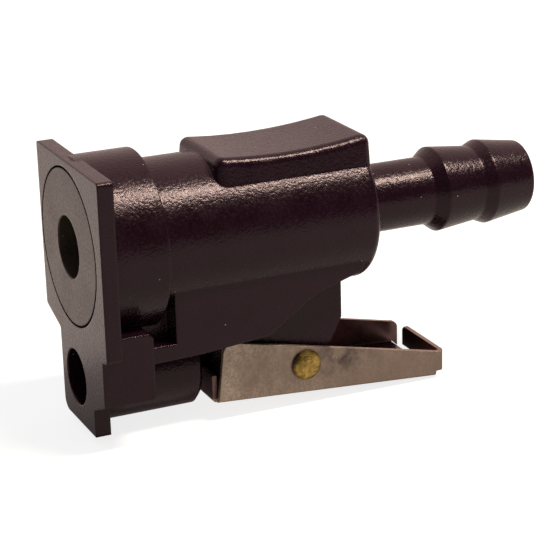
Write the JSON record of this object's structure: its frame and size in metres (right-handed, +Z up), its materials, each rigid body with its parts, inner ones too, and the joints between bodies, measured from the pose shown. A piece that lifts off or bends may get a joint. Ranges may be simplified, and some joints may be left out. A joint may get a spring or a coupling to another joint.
{
  "type": "quick disconnect coupling",
  "caption": "Female quick disconnect coupling for a fuel hose: plastic body with hose barb and shut-off valve, released by a pivoted steel latch lever.",
  "frame": {"origin": "centre of the fuel bore on the front face", "axes": "+X along the barrel towards the hose barb, +Z up towards the thumb saddle, +Y across; the latch lever lies below the barrel"},
  "size_m": [0.0638, 0.0233, 0.0352],
  "materials": {
    "nylon": "satin moulded nylon, slightly grainy",
    "nylon_insert": "satin moulded nylon",
    "seal_rubber": "smooth nitrile rubber",
    "acetal": "smooth acetal",
    "stainless_sheet": "dull rolled stainless sheet, smudged",
    "spring_wire": "drawn spring wire",
    "brass": "headed brass, slightly tarnished"
  },
  "bodies": {
    "body": {"body": "nylon", "face_insert": "nylon_insert", "fuel_pin_seal": "seal_rubber", "valve_seat": "acetal", "valve_spring": "spring_wire"},
    "latch": {"latch_lever": "stainless_sheet", "latch_rivet": "brass", "latch_spring": "spring_wire"},
    "valve": {"valve_plunger": "acetal", "plunger_seal": "seal_rubber"}
  },
  "joints": [
    {"name": "latch_pivot", "type": "hinge", "parent": "body", "child": "latch", "pos_m": [0.0286, 0, -0.0185], "axis": [0, -1, 0], "range_deg": [0, 9], "stiffness_Nm_per_rad": 0.2, "springref_deg": -34.38, "deforming": ["latch_spring"]},
    {"name": "valve_slide", "type": "slide", "parent": "body", "child": "valve", "axis": [1, 0, 0], "range_m": [0, 0.003], "stiffness_N_per_m": 400, "springref_m": -0.008, "deforming": ["valve_spring"]}
  ]
}
